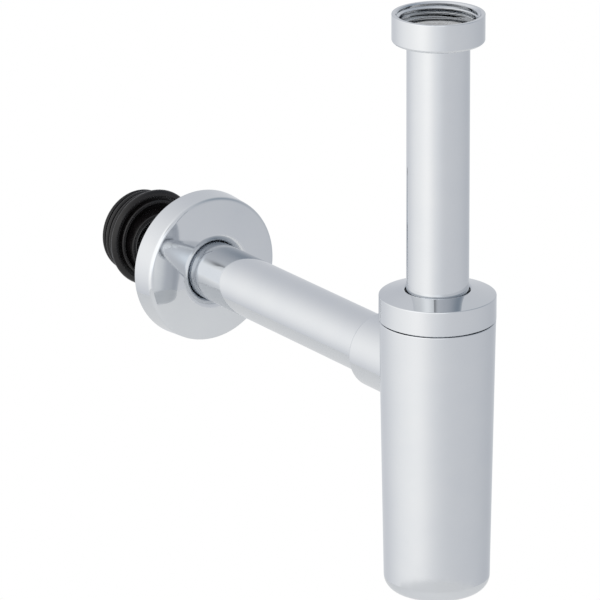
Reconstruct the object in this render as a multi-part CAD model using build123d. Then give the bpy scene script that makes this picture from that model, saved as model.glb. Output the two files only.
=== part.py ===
from build123d import *
import math
import os

# Washbasin bottle trap: a coupling nut and inlet pipe, a capped bottle with a dip tube,
# an outlet pipe in a side socket, a wall rosette and a rubber wall seal.
# Millimetres. Z is up on the trap's own axis and the outlet leaves towards +Y.
# The origin is the middle of the gasket face that the basin waste comes down on.

# Clearances between pieces
running_gap = 0.05
sliding_gap = 0.3
seat_gap = 0.2

# Pipes
pipe_dia = 32.0
pipe_wall = 1.0
inlet_pipe_length = 195.0
flare_width = 3.3
flare_thickness = 1.2
flare_round = 0.9
pipe_end_round = 0.3

# Coupling nut and its gasket. With the flare's 38.6 mm, the thread comes out at 41.91 mm, G 1 1/4
nut_flare_gap = 0.175
nut_thread_depth = 1.48
nut_wall = 2.545
nut_height = 14.5
nut_web = 2.0
nut_hole_gap = 0.4
nut_foot_round = 1.4
nut_rim_round = 0.35
nut_mouth_chamfer = 0.7
nut_relief_depth = 0.445
nut_relief_rise = 0.3
inlet_gasket_inset = 0.1
inlet_gasket_thickness = 2.0

# Head cap
cap_drop = 138.5
cap_height = 12.7
cap_plate = 2.5
cap_rise = 3.4
cap_thread_dia = 57.0
cap_wall = 1.5
cap_hole_gap = 0.6
cap_hole_round = 1.2
cap_rim_round = 0.5
cap_parting = 0.8

# Cap thread on the bottle's neck
neck_thread_depth = 0.9
neck_thread_gap = 0.15
neck_wall = 1.9
neck_chamfer = 0.4

# Slip ring and pipe seal under the cap
slip_ring_thickness = 1.2
slip_ring_proud = 0.2
pipe_seal_height = 8.0
pipe_seal_top_section = 4.8
pipe_seal_foot_section = 1.6
pipe_seal_stand = 0.6

# Dip tube and the gasket under its flange
dip_wall = 1.2
dip_flange_thickness = 1.8
dip_flange_inset = 0.3
dip_funnel_wall = 1.5
water_seal = 55.0
body_gasket_thickness = 1.5

# Bottle
bottle_shoulder_inset = 0.15
bottle_taper = 2.55
bottle_height = 146.2
bottle_wall = 3.0
bottle_floor = 3.0
bottle_foot_round = 7.5
bottle_shoulder_round = 0.5

# Outlet socket on the bottle
outlet_drop = 44.2
socket_wall = 2.0
socket_reach = 51.0
socket_depth = 22.5
socket_end_round = 1.2
socket_mouth_chamfer = 0.5
socket_root_round = 1.0
socket_seal_width = 5.0
socket_seal_section = 2.1
socket_seal_inset = 6.0

# Outlet pipe
outlet_pipe_length = 257.0

# Wall rosette and its grip ring
rosette_reach = 204.8
rosette_dome_radius = 150.0
rosette_depth = 19.2
rosette_dia = 81.8
rosette_draft = 0.9
rosette_sheet = 0.9
rosette_edge_round = 2.5
rosette_lip_depth = 6.2
rosette_lip_round = 4.2
rosette_hole_gap = 0.12
grip_ring_width = 6.0
grip_ring_section = 3.5

# Wall seal. Its body stands a little above the pipe that its lips hold
seal_length = 20.0
seal_overhang = 1.2
seal_rise = 2.3
seal_tail_wall = 3.9
seal_tail_round = 1.2
seal_taper = 1.8
seal_mouth_land = 2.3
seal_mouth_depth = 2.6
seal_nose_length = 4.0
seal_nose_wall = 1.2
seal_nose_taper = 1.6
seal_nose_round = 0.9
seal_bore_gap = 1.5
seal_lip_width = 2.2
front_bead_width = 2.4
flange_bead_width = 5.4
flange_bead_height = 3.8
face_groove_width = 2.1
face_groove_depth = 2.5
fin_height = 1.7
fin_width = 2.6
fin_count = 3
fin_first = 9.5
fin_tail_inset = 2.5

# Heights down the trap's axis
flare_top = -inlet_gasket_thickness
flare_foot = flare_top - flare_thickness
nut_foot = flare_foot - nut_web
nut_top = nut_foot + nut_height
cap_top = -cap_drop
cap_under = cap_top - cap_plate
cap_foot = cap_top - cap_height
slip_foot = cap_under - slip_ring_thickness
pipe_seal_foot = slip_foot - pipe_seal_height
flange_top = slip_foot - pipe_seal_stand
flange_foot = flange_top - dip_flange_thickness
neck_top = flange_foot - body_gasket_thickness
shoulder = cap_foot - cap_parting
bottle_foot = shoulder - bottle_height
outlet_z = cap_top - outlet_drop

# Radii of the pipes and inside the nut
pipe_r = pipe_dia / 2
bore_r = pipe_r - pipe_wall
flare_r = pipe_r + flare_width
nut_thread_r = flare_r + nut_flare_gap + nut_thread_depth

# Radii inside the head
cap_thread_r = cap_thread_dia / 2
cap_r = cap_thread_r + cap_wall
neck_r = cap_thread_r - neck_thread_gap - neck_thread_depth
neck_bore_r = neck_r - neck_wall
dip_bore_r = pipe_r + sliding_gap
dip_r = dip_bore_r + dip_wall
pipe_seal_top_r = pipe_r + pipe_seal_top_section
pipe_seal_foot_r = pipe_r + pipe_seal_foot_section
pipe_seal_slope = (pipe_seal_top_r - pipe_seal_foot_r) / pipe_seal_height

# Distances along the outlet from the trap's axis
socket_foot = socket_reach - socket_depth
socket_seal_end = socket_reach - socket_seal_inset
outlet_start = socket_foot + sliding_gap
outlet_end = outlet_start + outlet_pipe_length
rosette_lip_end = rosette_reach + rosette_lip_depth
seal_tail = outlet_end + seal_overhang
seal_front = seal_tail - seal_length

# The outlet's pieces are turned about Z, from the trap's axis outwards, and then laid along +Y
outlet_axis = Location((0, 0, outlet_z), (-90, 0, 0))


def turned(*outline):
    """A closed outline of radius and height, spun about the Z axis."""
    return revolve(make_face(Plane.XZ * Polyline(*outline, close=True)), Axis.Z)


def ring(outer_r, inner_r, foot, top):
    """A plain ring with a square section."""
    return turned((inner_r, foot), (outer_r, foot), (outer_r, top), (inner_r, top))


def bead(width, height, base_r, middle):
    """A raised round bead, as an ellipse section that stands up from the base radius."""
    return revolve(Plane.XZ * Pos(base_r, middle) * Ellipse(height, width / 2), Axis.Z)


def circles(part, radius, height):
    """The round edges of one radius at one height."""
    return [
        edge
        for edge in part.edges().filter_by(GeomType.CIRCLE)
        if abs(edge.radius - radius) < 0.01 and abs(edge.arc_center.Z - height) < 0.01
    ]


# Coupling nut: turned brass, threaded above the gasket, with a relief for the end of the thread
# and a web that pulls on the pipe's flare
def coupling_nut():
    nut_r = nut_thread_r + nut_wall
    relief_r = nut_thread_r + nut_relief_depth
    hole_r = pipe_r + nut_hole_gap
    nut = turned(
        (hole_r, nut_foot),
        (nut_r, nut_foot),
        (nut_r, nut_top),
        (nut_thread_r, nut_top),
        (nut_thread_r, nut_relief_rise),
        (relief_r, nut_relief_rise),
        (relief_r, flare_foot),
        (hole_r, flare_foot),
    )
    nut = fillet(circles(nut, nut_r, nut_foot), nut_foot_round)
    nut = fillet(circles(nut, nut_r, nut_top), nut_rim_round)
    return chamfer(circles(nut, nut_thread_r, nut_top), nut_mouth_chamfer)


# Flat gasket that lies on the flare, inside the thread's crests
def inlet_gasket():
    return ring(flare_r - inlet_gasket_inset, bore_r, flare_top, 0)


# Inlet pipe: drawn brass tube with its top end flared flat
def inlet_pipe():
    pipe_foot = flare_top - inlet_pipe_length
    pipe = turned(
        (bore_r, pipe_foot),
        (pipe_r, pipe_foot),
        (pipe_r, flare_foot),
        (flare_r, flare_foot),
        (flare_r, flare_top),
        (bore_r, flare_top),
    )
    pipe = fillet(circles(pipe, bore_r, flare_top), flare_round)
    return fillet(circles(pipe, pipe_r, pipe_foot), pipe_end_round)


# Head cap: a cone-topped plate with a threaded skirt, screwed down over the bottle's neck
def head_cap():
    hole_r = pipe_r + cap_hole_gap
    cap = turned(
        (hole_r, cap_under),
        (cap_thread_r, cap_under),
        (cap_thread_r, cap_foot),
        (cap_r, cap_foot),
        (cap_r, cap_top),
        (hole_r, cap_top + cap_rise),
    )
    cap = fillet(circles(cap, cap_r, cap_top), cap_rim_round)
    return fillet(circles(cap, hole_r, cap_top + cap_rise), cap_hole_round)


# Slip ring, so that the turning cap doesn't drag the pipe seal round
def slip_ring():
    return ring(pipe_seal_top_r + slip_ring_proud, pipe_r + sliding_gap, slip_foot, cap_under)


# Pipe seal: a rubber cone that the cap squeezes on to the inlet pipe
def pipe_seal():
    inner_r = pipe_r + running_gap
    return turned(
        (inner_r, pipe_seal_foot),
        (pipe_seal_foot_r, pipe_seal_foot),
        (pipe_seal_top_r, slip_foot),
        (inner_r, slip_foot),
    )


# Dip tube: a flange on the bottle's rim, a funnel for the seal, and the tube into the water
def dip_tube():
    flange_r = neck_r - dip_flange_inset
    seat_foot = pipe_seal_foot - seat_gap
    seat_foot_r = pipe_seal_foot_r + seat_gap
    seat_top_r = seat_foot_r + pipe_seal_slope * (flange_top - pipe_seal_foot)
    funnel_r = seat_foot_r + dip_funnel_wall
    tube_foot = outlet_z - bore_r - water_seal
    return turned(
        (dip_bore_r, tube_foot),
        (dip_r, tube_foot),
        (dip_r, seat_foot - dip_funnel_wall),
        (funnel_r, seat_foot - dip_funnel_wall),
        (funnel_r + pipe_seal_slope * (flange_foot - pipe_seal_foot), flange_foot),
        (flange_r, flange_foot),
        (flange_r, flange_top),
        (seat_top_r, flange_top),
        (seat_foot_r, pipe_seal_foot),
        (seat_foot_r, seat_foot),
        (dip_bore_r, seat_foot),
    )


# Flat gasket between the dip tube's flange and the bottle's rim
def body_gasket():
    return ring(neck_r - dip_flange_inset, neck_bore_r + dip_flange_inset, neck_top, flange_foot)


# Bottle: one tapered moulding with its neck, its floor and the outlet socket
def bottle_body():
    shoulder_r = cap_r - bottle_shoulder_inset
    foot_r = shoulder_r - bottle_taper
    inner_foot_r = foot_r - bottle_wall
    inner_floor = bottle_foot + bottle_floor
    shell = turned(
        (0, bottle_foot),
        (foot_r, bottle_foot),
        (shoulder_r, shoulder),
        (neck_r, shoulder),
        (neck_r, neck_top),
        (0, neck_top),
    )
    shell = fillet(circles(shell, foot_r, bottle_foot), bottle_foot_round)
    shell = fillet(circles(shell, shoulder_r, shoulder), bottle_shoulder_round)
    shell = chamfer(circles(shell, neck_r, neck_top), neck_chamfer)
    hollow = turned(
        (0, inner_floor),
        (inner_foot_r, inner_floor),
        (neck_bore_r, neck_top),
        (0, neck_top),
    )
    hollow = fillet(circles(hollow, inner_foot_r, inner_floor), bottle_foot_round - bottle_wall)
    groove_r = pipe_r + socket_seal_section
    socket_r = groove_r + socket_wall
    socket = ring(socket_r, 0, 0, socket_reach)
    socket = outlet_axis * fillet(circles(socket, socket_r, socket_reach), socket_end_round)
    body = shell + socket
    roots = [
        edge
        for edge in body.edges()
        if edge.geom_type not in (GeomType.CIRCLE, GeomType.LINE)
        and edge.center().Y > 0
        and abs(edge.center().Z - outlet_z) < socket_r / 2
    ]
    body = fillet(roots, socket_root_round)
    way_r = pipe_r + sliding_gap
    pipe_way = turned(
        (0, 0),
        (bore_r, 0),
        (bore_r, socket_foot),
        (way_r, socket_foot),
        (way_r, socket_seal_end - socket_seal_width),
        (groove_r, socket_seal_end - socket_seal_width),
        (groove_r, socket_seal_end),
        (way_r, socket_seal_end),
        (way_r, socket_reach - socket_mouth_chamfer),
        (way_r + socket_mouth_chamfer, socket_reach),
        (0, socket_reach),
    )
    return body - hollow - outlet_axis * pipe_way


# Socket seal: a rubber lip ring in the socket's groove
def socket_seal():
    outer_r = pipe_r + socket_seal_section
    inner_r = pipe_r + running_gap
    lip_r = pipe_r + sliding_gap + running_gap
    middle = socket_seal_end - socket_seal_width / 2
    return outlet_axis * turned(
        (lip_r, socket_seal_end - socket_seal_width),
        (outer_r, socket_seal_end - socket_seal_width),
        (outer_r, socket_seal_end),
        (lip_r, socket_seal_end),
        (inner_r, middle + running_gap),
        (inner_r, middle - running_gap),
    )


# Outlet pipe: drawn brass tube, pushed into the socket and through to the wall
def outlet_pipe():
    pipe = ring(pipe_r, bore_r, outlet_start, outlet_end)
    pipe = fillet(circles(pipe, pipe_r, outlet_start), pipe_end_round)
    return outlet_axis * fillet(circles(pipe, pipe_r, outlet_end), pipe_end_round)


# Wall rosette: a domed dish pressed from sheet, with the edge of its hole rolled in round the pipe
def wall_rosette():
    hole_r = pipe_r + rosette_hole_gap
    rim_r = rosette_dia / 2
    edge_r = rim_r - rosette_draft
    rim = rosette_reach + rosette_depth

    def dome(radius, inset):
        """The point of the dome, or of its inner side, at one radius."""
        ball_r = rosette_dome_radius - inset
        return (radius, rosette_reach + rosette_dome_radius - math.sqrt(ball_r**2 - radius**2))

    inner_edge_r = edge_r - rosette_sheet
    inner_hole_r = hole_r + rosette_sheet
    middle_r = (hole_r + edge_r) / 2
    section = Line((hole_r, rosette_lip_end), dome(hole_r, 0))
    section += ThreePointArc(dome(hole_r, 0), dome(middle_r, 0), dome(edge_r, 0))
    section += Polyline(
        dome(edge_r, 0), (rim_r, rim), (rim_r - rosette_sheet, rim), dome(inner_edge_r, rosette_sheet)
    )
    section += ThreePointArc(
        dome(inner_edge_r, rosette_sheet), dome(middle_r, rosette_sheet), dome(inner_hole_r, rosette_sheet)
    )
    section += Polyline(
        dome(inner_hole_r, rosette_sheet), (inner_hole_r, rosette_lip_end), (hole_r, rosette_lip_end)
    )
    dish = revolve(make_face(Plane.XZ * section), Axis.Z)
    dish = fillet(circles(dish, *dome(edge_r, 0)), rosette_edge_round)
    dish = fillet(circles(dish, *dome(inner_edge_r, rosette_sheet)), rosette_edge_round - rosette_sheet)
    dish = fillet(circles(dish, *dome(hole_r, 0)), rosette_lip_round)
    dish = fillet(circles(dish, *dome(inner_hole_r, rosette_sheet)), rosette_lip_round - rosette_sheet)
    return outlet_axis * dish


# Grip ring: a rubber ring behind the rolled edge that keeps the rosette where it is pushed
def rosette_grip_ring():
    outer_r = pipe_r + grip_ring_section
    inner_r = pipe_r + running_gap
    return outlet_axis * ring(outer_r, inner_r, rosette_lip_end, rosette_lip_end + grip_ring_width)


# Wall seal: a rubber sleeve with a flange bead, sealing fins, and a nose with a lip round the pipe
def wall_seal():
    lip_r = pipe_r + running_gap
    bore = pipe_r + seal_bore_gap
    tail_r = bore + seal_tail_wall
    front_r = tail_r + seal_taper
    mouth_r = front_r - seal_mouth_land
    mouth_foot = seal_front + seal_mouth_depth
    nose_front = seal_front - seal_nose_length
    nose_r = lip_r + seal_nose_wall
    groove_inner_r = mouth_r + front_bead_width / 2
    sleeve = turned((0, seal_front), (front_r, seal_front), (tail_r, seal_tail), (0, seal_tail))
    sleeve = fillet(circles(sleeve, tail_r, seal_tail), seal_tail_round)
    sleeve += bead(flange_bead_width, flange_bead_height, front_r, seal_front + flange_bead_width / 2)
    fin_pitch = (seal_length - fin_first - fin_tail_inset) / (fin_count - 1)
    for number in range(fin_count):
        along = fin_first + number * fin_pitch
        base_r = front_r + (tail_r - front_r) * along / seal_length
        sleeve += bead(fin_width, fin_height, base_r, seal_front + along)
    sleeve -= ring(
        groove_inner_r + face_groove_width, groove_inner_r, seal_front, seal_front + face_groove_depth
    )
    sleeve -= turned((0, seal_front), (mouth_r, seal_front), (lip_r, mouth_foot), (0, mouth_foot))
    sleeve += bead(front_bead_width, front_bead_width / 2, mouth_r, seal_front)
    nose = turned(
        (0, nose_front),
        (nose_r, nose_front),
        (nose_r + seal_nose_taper, mouth_foot),
        (nose_r, mouth_foot + seal_lip_width),
        (0, mouth_foot + seal_lip_width),
    )
    nose = fillet(circles(nose, nose_r, nose_front), seal_nose_round)
    pipe_way = turned(
        (0, nose_front),
        (lip_r, nose_front),
        (lip_r, nose_front + seal_lip_width),
        (bore, seal_front + seal_lip_width),
        (bore, seal_tail - 3 * seal_lip_width),
        (lip_r, seal_tail - 2 * seal_lip_width),
        (lip_r, seal_tail - seal_lip_width),
        (bore, seal_tail),
        (0, seal_tail),
    )
    return outlet_axis * (Pos(0, -seal_rise, 0) * sleeve + nose - pipe_way)


pieces = [
    coupling_nut,
    inlet_gasket,
    inlet_pipe,
    head_cap,
    slip_ring,
    pipe_seal,
    dip_tube,
    body_gasket,
    bottle_body,
    socket_seal,
    outlet_pipe,
    wall_rosette,
    rosette_grip_ring,
    wall_seal,
]

os.makedirs("parts", exist_ok=True)
for piece in pieces:
    export_step(piece(), f"parts/{piece.__name__}.step")
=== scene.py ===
import math

import bmesh
import bpy
from mathutils import Matrix, Vector


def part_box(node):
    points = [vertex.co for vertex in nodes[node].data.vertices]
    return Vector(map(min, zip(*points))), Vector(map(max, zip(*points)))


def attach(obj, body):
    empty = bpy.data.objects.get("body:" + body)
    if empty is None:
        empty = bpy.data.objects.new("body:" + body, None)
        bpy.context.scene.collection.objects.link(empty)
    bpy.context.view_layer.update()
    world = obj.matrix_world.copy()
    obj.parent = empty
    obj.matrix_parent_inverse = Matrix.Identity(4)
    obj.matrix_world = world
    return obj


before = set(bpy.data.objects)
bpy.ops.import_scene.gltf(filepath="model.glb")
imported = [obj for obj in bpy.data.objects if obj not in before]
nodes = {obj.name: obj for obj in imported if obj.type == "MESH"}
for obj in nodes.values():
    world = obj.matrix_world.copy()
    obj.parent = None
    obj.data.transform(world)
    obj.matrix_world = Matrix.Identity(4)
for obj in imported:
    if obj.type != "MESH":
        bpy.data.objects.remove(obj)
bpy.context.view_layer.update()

mm = 0.001


# Camera: a long lens in front of the trap, to the left of the inlet pipe and a little above it.
# It looks down on the cap, with the outlet going away to the left.
camera_place = Vector((-1467.66, -2056.14, 717.96)) * mm
camera_turn = math.radians(33.934)
camera_dip = math.radians(18.793)
camera_roll = math.radians(-0.331)
camera_lens = 315.09

forward = Vector((
    math.sin(camera_turn) * math.cos(camera_dip),
    math.cos(camera_turn) * math.cos(camera_dip),
    -math.sin(camera_dip),
))
level_right = Vector((math.cos(camera_turn), -math.sin(camera_turn), 0))
level_up = level_right.cross(forward)
right = math.cos(camera_roll) * level_right + math.sin(camera_roll) * level_up
up = right.cross(forward)
camera = bpy.data.objects.new("camera", bpy.data.cameras.new("camera"))
camera.data.lens = camera_lens
camera.data.sensor_width = 36
camera.matrix_world = Matrix.Translation(camera_place) @ Matrix((right, up, -forward)).transposed().to_4x4()
bpy.context.scene.collection.objects.link(camera)
bpy.context.scene.camera = camera


# Inlet pipe: drawn brass tube of 32 mm, flared at its top end, polished and chrome plated.
# It hangs by its flare in the coupling nut and slides in the bottle's seal.
def srgb(code):
    """A hex colour turned to linear, with its alpha."""
    parts = [int(code[place:place + 2], 16) / 255 for place in (1, 3, 5)]
    linear = [part / 12.92 if part <= 0.04045 else ((part + 0.055) / 1.055) ** 2.4 for part in parts]
    return (*linear, 1)


def add_node(tree, kind, inputs=None, **settings):
    """Adds one node, with its settings, and sets or links its inputs."""
    node = tree.nodes.new(kind)
    for name, value in settings.items():
        setattr(node, name, value)
    for socket, value in (inputs or {}).items():
        if isinstance(value, bpy.types.NodeSocket):
            tree.links.new(value, node.inputs[socket])
        else:
            node.inputs[socket].default_value = value
    return node


def bright_chrome(name, ripple_length, ripple_height, haze):
    """Decorative chrome, a thin plate over polished nickel: a cool mirror that shows the base's ripple.

    The haze is how rough the polish is at its dullest, and wiping leaves it uneven."""
    chrome_light = srgb("#DCDEE0")
    chrome_dark = srgb("#D5D8DC")
    wipe_length = 18 * mm
    best_polish = 0.6 * haze
    material = bpy.data.materials.new(name)
    material.use_nodes = True
    tree = material.node_tree
    shader = tree.nodes["Principled BSDF"]
    shader.inputs["Metallic"].default_value = 1
    place = add_node(tree, "ShaderNodeTexCoord").outputs["Object"]
    wipes = add_node(tree, "ShaderNodeTexNoise", {"Vector": place, "Scale": 1 / wipe_length, "Detail": 4})
    tone = add_node(
        tree, "ShaderNodeMix", {0: wipes.outputs["Fac"], 6: chrome_light, 7: chrome_dark}, data_type="RGBA"
    )
    tree.links.new(tone.outputs[2], shader.inputs["Base Color"])
    polish = add_node(
        tree, "ShaderNodeMapRange", {0: wipes.outputs["Fac"], 1: 0.35, 2: 0.65, 3: best_polish, 4: haze}
    )
    tree.links.new(polish.outputs[0], shader.inputs["Roughness"])
    ripple = add_node(tree, "ShaderNodeTexNoise", {"Vector": place, "Scale": 1 / ripple_length, "Detail": 1})
    bump = add_node(
        tree, "ShaderNodeBump", {"Height": ripple.outputs["Fac"], "Strength": 1, "Distance": ripple_height}
    )
    tree.links.new(bump.outputs["Normal"], shader.inputs["Normal"])
    return material


chromed_brass_tube = bright_chrome("chromed brass tube", 30 * mm, 0.012 * mm, 0.06)
nodes["inlet_pipe"].material_slots[0].material = chromed_brass_tube


# Inlet gasket: a flat ring of pale pressed fibre on the flare, under the end of the basin waste.
# The cut sheet is matt, with darker and lighter fibres.
def pressed_fibre():
    """Pressed cellulose fibre: a pale grey, quite matt sheet with a fine fleck that stands up a little."""
    fibre_light = srgb("#D2D3D4")
    fibre_dark = srgb("#B4B4B4")
    fibre_length = 0.8 * mm
    material = bpy.data.materials.new("pressed fibre")
    material.use_nodes = True
    tree = material.node_tree
    shader = tree.nodes["Principled BSDF"]
    shader.inputs["Roughness"].default_value = 0.75
    place = add_node(tree, "ShaderNodeTexCoord").outputs["Object"]
    fibres = add_node(tree, "ShaderNodeTexNoise", {"Vector": place, "Scale": 1 / fibre_length, "Detail": 5})
    tone = add_node(
        tree, "ShaderNodeMix", {0: fibres.outputs["Fac"], 6: fibre_dark, 7: fibre_light}, data_type="RGBA"
    )
    tree.links.new(tone.outputs[2], shader.inputs["Base Color"])
    bump = add_node(
        tree, "ShaderNodeBump", {"Height": fibres.outputs["Fac"], "Strength": 0.6, "Distance": 0.05 * mm}
    )
    tree.links.new(bump.outputs["Normal"], shader.inputs["Normal"])
    return material


nodes["inlet_gasket"].material_slots[0].material = pressed_fibre()


# Coupling nut: turned brass, polished and chromed outside and in, with a G 1 1/4 thread in its mouth.
# It goes up the inlet pipe from below and pulls the flare against the basin waste.
chromed_turned_brass = bright_chrome("chromed turned brass", 22 * mm, 0.008 * mm, 0.07)
nodes["coupling_nut"].material_slots[0].material = chromed_turned_brass


def screw_thread_tree():
    """One helical ridge on a round wall, right-handed, that runs out at both ends.

    A negative Ridge Height points inwards. Turns and Run Out are in turns, the other sizes are lengths."""
    points_per_turn = 128
    crest_round_steps = 4
    end_share = 0.02
    tree = bpy.data.node_groups.new("screw thread", "GeometryNodeTree")
    sizes = (
        "Wall Radius",
        "Ridge Height",
        "Foot Width",
        "Crest Width",
        "Crest Round",
        "Pitch",
        "Turns",
        "Lowest",
        "Run Out",
    )
    for size in sizes:
        tree.interface.new_socket(size, in_out="INPUT", socket_type="NodeSocketFloat")
    tree.interface.new_socket("Finish", in_out="INPUT", socket_type="NodeSocketMaterial")
    tree.interface.new_socket("Geometry", in_out="OUTPUT", socket_type="NodeSocketGeometry")
    given = add_node(tree, "NodeGroupInput").outputs
    climb = add_node(tree, "ShaderNodeMath", {0: given["Pitch"], 1: given["Turns"]}, operation="MULTIPLY")
    helix = add_node(
        tree,
        "GeometryNodeCurveSpiral",
        {
            "Resolution": points_per_turn,
            "Rotations": given["Turns"],
            "Start Radius": given["Wall Radius"],
            "End Radius": given["Wall Radius"],
            "Height": climb.outputs[0],
            "Reverse": True,
        },
    )
    lift = add_node(tree, "ShaderNodeCombineXYZ", {"Z": given["Lowest"]})
    placed = add_node(
        tree, "GeometryNodeTransform", {"Geometry": helix.outputs[0], "Translation": lift.outputs[0]}
    )
    upright = add_node(tree, "GeometryNodeSetCurveNormal", {"Curve": placed.outputs[0]}, mode="Z_UP")
    along = add_node(tree, "GeometryNodeSplineParameter").outputs["Factor"]
    to_end = add_node(tree, "ShaderNodeMath", {0: 1.0, 1: along}, operation="SUBTRACT")
    nearest = add_node(tree, "ShaderNodeMath", {0: along, 1: to_end.outputs[0]}, operation="MINIMUM")
    turned = add_node(
        tree, "ShaderNodeMath", {0: nearest.outputs[0], 1: given["Turns"]}, operation="MULTIPLY"
    )
    growth = add_node(
        tree, "ShaderNodeMapRange", {0: turned.outputs[0], 1: 0.0, 2: given["Run Out"], 3: end_share, 4: 1.0}
    )
    tapered = add_node(
        tree, "GeometryNodeSetCurveRadius", {"Curve": upright.outputs[0], "Radius": growth.outputs[0]}
    )
    height = add_node(tree, "ShaderNodeMath", {0: given["Ridge Height"]}, operation="ABSOLUTE")
    section = add_node(
        tree,
        "GeometryNodeCurvePrimitiveQuadrilateral",
        {
            "Height": height.outputs[0],
            "Bottom Width": given["Foot Width"],
            "Top Width": given["Crest Width"],
            "Offset": 0.0,
        },
        mode="TRAPEZOID",
    )
    spot = add_node(tree, "GeometryNodeInputPosition").outputs[0]
    above = add_node(tree, "ShaderNodeSeparateXYZ", {0: spot})
    on_crest = add_node(tree, "ShaderNodeMath", {0: above.outputs["Y"], 1: 0.0}, operation="GREATER_THAN")
    crest_round = add_node(
        tree, "ShaderNodeMath", {0: on_crest.outputs[0], 1: given["Crest Round"]}, operation="MULTIPLY"
    )
    rounded = add_node(
        tree,
        "GeometryNodeFilletCurve",
        {
            "Curve": section.outputs[0],
            "Radius": crest_round.outputs[0],
            "Count": crest_round_steps,
            "Limit Radius": True,
        },
        mode="POLY",
    )
    outward = add_node(tree, "ShaderNodeMath", {0: given["Ridge Height"]}, operation="SIGN")
    facing = add_node(tree, "ShaderNodeCombineXYZ", {"X": 1.0, "Y": outward.outputs[0], "Z": 1.0})
    half = add_node(tree, "ShaderNodeMath", {0: given["Ridge Height"], 1: 0.5}, operation="MULTIPLY")
    stand = add_node(tree, "ShaderNodeCombineXYZ", {"X": half.outputs[0]})
    ridge = add_node(
        tree,
        "GeometryNodeTransform",
        {
            "Geometry": rounded.outputs[0],
            "Translation": stand.outputs[0],
            "Rotation": (0, 0, -math.pi / 2),
            "Scale": facing.outputs[0],
        },
    )
    solid = add_node(
        tree,
        "GeometryNodeCurveToMesh",
        {
            "Curve": tapered.outputs[0],
            "Profile Curve": ridge.outputs[0],
            "Scale": growth.outputs[0],
            "Fill Caps": True,
        },
    )
    real = add_node(tree, "GeometryNodeRealizeInstances", {"Geometry": solid.outputs[0]})
    finished = add_node(
        tree, "GeometryNodeSetMaterial", {"Geometry": real.outputs[0], "Material": given["Finish"]}
    )
    add_node(tree, "NodeGroupOutput", {"Geometry": finished.outputs[0]})
    return tree


screw_thread = screw_thread_tree()


def cut_thread(name, body, finish, sizes):
    """A thread as its own plain mesh, riding on the body whose wall carries it."""
    merge_distance = 0.001 * mm
    sharp_edge = math.radians(30)
    blank = bpy.data.objects.new(name + "_blank", bpy.data.meshes.new(name + "_blank"))
    bpy.context.scene.collection.objects.link(blank)
    modifier = blank.modifiers.new("thread", "NODES")
    modifier.node_group = screw_thread
    sockets = screw_thread.interface.items_tree
    inputs = {item.name: item.identifier for item in sockets if item.in_out == "INPUT"}
    for size, value in sizes.items():
        modifier[inputs[size]] = value
    modifier[inputs["Finish"]] = finish
    evaluated = blank.evaluated_get(bpy.context.evaluated_depsgraph_get())
    mesh = bpy.data.meshes.new_from_object(evaluated)
    bpy.data.objects.remove(blank)
    mesh.name = name
    form = bmesh.new()
    form.from_mesh(mesh)
    bmesh.ops.remove_doubles(form, verts=form.verts, dist=merge_distance)
    bmesh.ops.recalc_face_normals(form, faces=form.faces)
    form.to_mesh(mesh)
    form.free()
    mesh.shade_smooth()
    mesh.set_sharp_from_angle(angle=sharp_edge)
    thread = bpy.data.objects.new(name, mesh)
    bpy.context.scene.collection.objects.link(thread)
    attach(thread, body)
    return thread


cut_thread("nut_thread", "nut", chromed_turned_brass, {
    "Wall Radius": 20.99 * mm,
    "Ridge Height": -1.48 * mm,
    "Foot Width": 2.1 * mm,
    "Crest Width": 0.6 * mm,
    "Crest Round": 0.3 * mm,
    "Pitch": 2.309 * mm,
    "Turns": 3.1,
    "Lowest": 1.3 * mm,
    "Run Out": 0.25,
})


# Pipe seal and slip ring: the black rubber cone that grips the inlet pipe, and the hard white ring
# between it and the turning cap. Both are moulded and lie loose under the cap.
def moulded_rubber():
    """EPDM from a polished mould: nearly black, with a low gloss that dust and bloom dull in places."""
    rubber_black = srgb("#0B090A")
    rubber_dusty = srgb("#141213")
    bloom_length = 6 * mm
    grain_length = 0.5 * mm
    glossiest = 0.2
    dullest = 0.34
    material = bpy.data.materials.new("moulded black rubber")
    material.use_nodes = True
    tree = material.node_tree
    shader = tree.nodes["Principled BSDF"]
    shader.inputs["IOR"].default_value = 1.45
    place = add_node(tree, "ShaderNodeTexCoord").outputs["Object"]
    bloom = add_node(tree, "ShaderNodeTexNoise", {"Vector": place, "Scale": 1 / bloom_length, "Detail": 4})
    tone = add_node(
        tree, "ShaderNodeMix", {0: bloom.outputs["Fac"], 6: rubber_black, 7: rubber_dusty}, data_type="RGBA"
    )
    tree.links.new(tone.outputs[2], shader.inputs["Base Color"])
    sheen = add_node(
        tree, "ShaderNodeMapRange", {0: bloom.outputs["Fac"], 1: 0.3, 2: 0.7, 3: glossiest, 4: dullest}
    )
    tree.links.new(sheen.outputs[0], shader.inputs["Roughness"])
    grain = add_node(tree, "ShaderNodeTexNoise", {"Vector": place, "Scale": 1 / grain_length, "Detail": 2})
    bump = add_node(
        tree, "ShaderNodeBump", {"Height": grain.outputs["Fac"], "Strength": 0.5, "Distance": 0.015 * mm}
    )
    tree.links.new(bump.outputs["Normal"], shader.inputs["Normal"])
    return material


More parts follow.
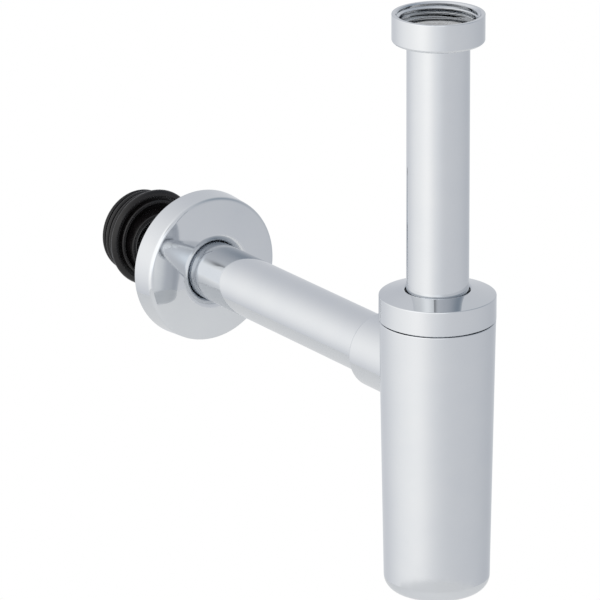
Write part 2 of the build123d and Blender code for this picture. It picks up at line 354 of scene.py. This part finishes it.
def moulded_polypropylene():
    """Injection moulded polypropylene: a milky white with a waxy sheen and faint flow marks."""
    plastic_white = srgb("#E6E5E0")
    plastic_shade = srgb("#DAD9D3")
    flow_length = 12 * mm
    material = bpy.data.materials.new("moulded white polypropylene")
    material.use_nodes = True
    tree = material.node_tree
    shader = tree.nodes["Principled BSDF"]
    shader.inputs["Roughness"].default_value = 0.42
    place = add_node(tree, "ShaderNodeTexCoord").outputs["Object"]
    flow = add_node(tree, "ShaderNodeTexNoise", {"Vector": place, "Scale": 1 / flow_length, "Detail": 3})
    tone = add_node(
        tree, "ShaderNodeMix", {0: flow.outputs["Fac"], 6: plastic_white, 7: plastic_shade}, data_type="RGBA"
    )
    tree.links.new(tone.outputs[2], shader.inputs["Base Color"])
    bump = add_node(
        tree, "ShaderNodeBump", {"Height": flow.outputs["Fac"], "Strength": 0.5, "Distance": 0.02 * mm}
    )
    tree.links.new(bump.outputs["Normal"], shader.inputs["Normal"])
    return material


black_rubber = moulded_rubber()
white_plastic = moulded_polypropylene()
nodes["pipe_seal"].material_slots[0].material = black_rubber
nodes["slip_ring"].material_slots[0].material = white_plastic


# Bottle: one tapered moulding in ABS, chrome plated, with its neck thread and the outlet socket.
# Plated plastic shows a slightly longer ripple than turned brass.
chromed_plastic = bright_chrome("chromed plastic", 40 * mm, 0.015 * mm, 0.05)
nodes["bottle_body"].material_slots[0].material = chromed_plastic

cap_pitch = 2.5 * mm
cap_ridge = 0.9 * mm
moulded_ridge = {
    "Foot Width": 1.1 * mm,
    "Crest Width": 0.4 * mm,
    "Crest Round": 0.1 * mm,
    "Pitch": cap_pitch,
    "Run Out": 0.12,
}
neck_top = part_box("body_gasket")[0].z
neck_thread_foot = neck_top - 5.0 * mm
cut_thread("neck_thread", "bottle", chromed_plastic, {
    **moulded_ridge,
    "Wall Radius": 27.42 * mm,
    "Ridge Height": cap_ridge,
    "Turns": 1.6,
    "Lowest": neck_thread_foot,
})


# Dip tube and body gasket: the white inner tube that hangs by its flange on the bottle's rim,
# and the rubber ring under the flange.
nodes["dip_tube"].material_slots[0].material = white_plastic
nodes["body_gasket"].material_slots[0].material = black_rubber


# Head cap: a moulded cap in the same chromed plastic, screwed down over the neck.
# Its thread runs between the turns of the neck's thread, and its polished top rises in a shallow cone.
nodes["head_cap"].material_slots[0].material = chromed_plastic
cut_thread("cap_thread", "cap", chromed_plastic, {
    **moulded_ridge,
    "Wall Radius": 28.53 * mm,
    "Ridge Height": -cap_ridge,
    "Turns": 2.6,
    "Lowest": neck_thread_foot + cap_pitch / 2,
})


# Socket seal and outlet pipe: the lip ring in the socket's groove, and the drawn brass tube
# that is pushed through it as far as the socket's stop.
nodes["socket_seal"].material_slots[0].material = black_rubber
nodes["outlet_pipe"].material_slots[0].material = chromed_brass_tube


# Wall rosette and grip ring: a dish pressed from brass sheet and chromed, and the rubber ring
# behind its face that holds it where it is pushed on the pipe.
chromed_brass_sheet = bright_chrome("chromed brass sheet", 26 * mm, 0.012 * mm, 0.07)
nodes["wall_rosette"].material_slots[0].material = chromed_brass_sheet
nodes["rosette_grip_ring"].material_slots[0].material = black_rubber


# Wall seal: the ribbed rubber sleeve on the end of the outlet pipe, pushed into the wall pipe.
nodes["wall_seal"].material_slots[0].material = black_rubber


# Floor and studio: a plain pale floor well below the hanging trap, in a white room with soft light.
# The camera sees the room as plain white, and the chrome sees the room's soft, pale shades.
floor_drop = 800 * mm
floor_radius = 1200 * mm

floor_form = bmesh.new()
bmesh.ops.create_circle(floor_form, cap_ends=True, segments=96, radius=floor_radius)
floor_mesh = bpy.data.meshes.new("floor")
floor_form.to_mesh(floor_mesh)
floor_form.free()
floor_mesh.transform(Matrix.Translation((0, 0, -floor_drop)))
floor = bpy.data.objects.new("floor", floor_mesh)
bpy.context.scene.collection.objects.link(floor)


def seen_directly(tree):
    """1 where a camera, mirror or see-through ray looks, and 0 where light is gathered."""
    path = add_node(tree, "ShaderNodeLightPath").outputs
    mirrored = add_node(
        tree, "ShaderNodeMath", {0: path["Is Camera Ray"], 1: path["Is Glossy Ray"]}, operation="MAXIMUM"
    )
    return add_node(
        tree, "ShaderNodeMath", {0: mirrored.outputs[0], 1: path["Is Transmission Ray"]}, operation="MAXIMUM"
    ).outputs[0]


def pale_floor_paint():
    """Matt floor paint, rolled on: nearly white to the eye, and a pale grey in the chrome's mirror."""
    paint_light = srgb("#CCCCCC")
    paint_shade = srgb("#C9C9C9")
    roller_mark = 40 * mm
    glow = 0.45
    less_in_mirrors = -0.18
    material = bpy.data.materials.new("pale floor paint")
    material.use_nodes = True
    tree = material.node_tree
    shader = tree.nodes["Principled BSDF"]
    shader.inputs["Roughness"].default_value = 0.9
    shader.inputs["Emission Color"].default_value = srgb("#FFFFFF")
    place = add_node(tree, "ShaderNodeTexCoord").outputs["Object"]
    marks = add_node(tree, "ShaderNodeTexNoise", {"Vector": place, "Scale": 1 / roller_mark})
    tone = add_node(
        tree, "ShaderNodeMix", {0: marks.outputs["Fac"], 6: paint_shade, 7: paint_light}, data_type="RGBA"
    )
    tree.links.new(tone.outputs[2], shader.inputs["Base Color"])
    mirrored = add_node(tree, "ShaderNodeLightPath").outputs["Is Glossy Ray"]
    seen = add_node(tree, "ShaderNodeMath", {0: seen_directly(tree), 1: glow}, operation="MULTIPLY")
    shown = add_node(
        tree,
        "ShaderNodeMath",
        {0: mirrored, 1: less_in_mirrors, 2: seen.outputs[0]},
        operation="MULTIPLY_ADD",
    )
    tree.links.new(shown.outputs[0], shader.inputs["Emission Strength"])
    return material


floor_mesh.materials.append(pale_floor_paint())

# The studio's shades as the chrome shows them: a bright room with soft patches of light and shade. Each
# has its compass direction from the wall side towards +X, its height above level, its half-width, and
# how much red, green and blue it adds to the room or takes away.
room_light = (0.634, 0.651, 0.691)
soft_patches = [
    (335.1, -40.8, 40.2, (-1.222, -1.168, -1.042)),
    (214.5, 11.8, 12.8, (1.281, 1.415, 1.5)),
    (331.4, -28.8, 59.0, (1.35, 1.294, 1.162)),
    (58.1, -17.7, 40.9, (-0.27, -0.257, -0.236)),
    (250.4, 14.4, 22.0, (0.986, 0.925, 0.83)),
    (107.1, 47.6, 27.4, (-0.359, -0.323, -0.296)),
    (2.0, 14.6, 25.1, (-0.454, -0.436, -0.384)),
    (266.0, 47.0, 16.0, (0.32, 0.32, 0.3)),
]
# The dark end of the overhead soft box: its place and half-width as above, how much light it takes away,
# and the compass direction that its one hard edge faces.
soft_box_end = (230.5, 45.0, 6.0)
soft_box_end_loss = 0.65
hard_edge_compass = 141.9
hard_edge_width = 0.01
dimmest_shade = 0.15
brightest_shade = 1.4
gathered_light = srgb("#C8CACC")

world = bpy.data.worlds.new("white room")
bpy.context.scene.world = world
world.use_nodes = True
world_tree = world.node_tree
world_tree.nodes.clear()
view = add_node(world_tree, "ShaderNodeTexCoord").outputs["Generated"]


def facing_from(compass, height):
    """How squarely a view direction faces a place in the room: 1 at its middle, 0 at a right angle."""
    compass = math.radians(compass)
    height = math.radians(height)
    middle = (math.sin(compass) * math.cos(height), math.cos(compass) * math.cos(height), math.sin(height))
    return add_node(
        world_tree, "ShaderNodeVectorMath", {0: view, 1: middle}, operation="DOT_PRODUCT"
    ).outputs["Value"]


def soft_spot(compass, height, half_width):
    """1 at the middle of a round, soft patch, and a half at its half-width."""
    sharpness = math.log(2) / (1 - math.cos(math.radians(half_width)))
    falling = add_node(
        world_tree,
        "ShaderNodeMath",
        {0: facing_from(compass, height), 1: sharpness, 2: -sharpness},
        operation="MULTIPLY_ADD",
    )
    return add_node(world_tree, "ShaderNodeMath", {0: falling.outputs[0]}, operation="EXPONENT").outputs[0]


mirrored_room = room_light
for compass, height, half_width, gain in soft_patches:
    mirrored_room = add_node(
        world_tree,
        "ShaderNodeVectorMath",
        {0: soft_spot(compass, height, half_width), 1: gain, 2: mirrored_room},
        operation="MULTIPLY_ADD",
    ).outputs[0]
facing_edge = facing_from(hard_edge_compass, 0)
past_edge = add_node(
    world_tree,
    "ShaderNodeMapRange",
    {0: facing_edge, 1: -hard_edge_width, 2: hard_edge_width, 3: 0.0, 4: -soft_box_end_loss},
)
taken = add_node(
    world_tree, "ShaderNodeMath", {0: soft_spot(*soft_box_end), 1: past_edge.outputs[0]}, operation="MULTIPLY"
)
shaded_room = add_node(
    world_tree, "ShaderNodeVectorMath", {0: taken.outputs[0], 1: mirrored_room}, operation="ADD"
)
dimmest = add_node(
    world_tree,
    "ShaderNodeVectorMath",
    {0: shaded_room.outputs[0], 1: (dimmest_shade,) * 3},
    operation="MAXIMUM",
)
brightest = add_node(
    world_tree,
    "ShaderNodeVectorMath",
    {0: dimmest.outputs[0], 1: (brightest_shade,) * 3},
    operation="MINIMUM",
)
to_camera = add_node(world_tree, "ShaderNodeLightPath").outputs["Is Camera Ray"]
backdrop = add_node(
    world_tree, "ShaderNodeMix", {0: to_camera, 6: brightest.outputs[0], 7: srgb("#FFFFFF")}, data_type="RGBA"
)
lit = add_node(
    world_tree,
    "ShaderNodeMix",
    {0: seen_directly(world_tree), 6: gathered_light, 7: backdrop.outputs[2]},
    data_type="RGBA",
)
background = add_node(world_tree, "ShaderNodeBackground", {"Color": lit.outputs[2], "Strength": 1})
add_node(world_tree, "ShaderNodeOutputWorld", {"Surface": background.outputs[0]})

# Three soft boxes, each with its place and width in mm and its power in watts. They fill in the matt pieces.
lamp_target = Vector((0, 0, -150 * mm))
lamps = {
    "soft_box_left": ((-900, -500, 700), 900, 9),
    "soft_box_right": ((900, -900, 600), 900, 5),
    "soft_box_back": ((-200, 1100, 900), 900, 5),
}
for name, (place, width, power) in lamps.items():
    lamp = bpy.data.lights.new(name, "AREA")
    lamp.shape = "DISK"
    lamp.size = width * mm
    lamp.energy = power
    soft_box = bpy.data.objects.new(name, lamp)
    soft_box.location = Vector(place) * mm
    soft_box.rotation_euler = (lamp_target - soft_box.location).to_track_quat("-Z", "Y").to_euler()
    soft_box.visible_glossy = False
    soft_box.visible_camera = False
    bpy.context.scene.collection.objects.link(soft_box)

# Light goes to and fro many times in the wedge between the pipe and the lip of the rosette's hole.
bpy.context.scene.cycles.glossy_bounces = 12
bpy.context.scene.view_settings.view_transform = "Standard"
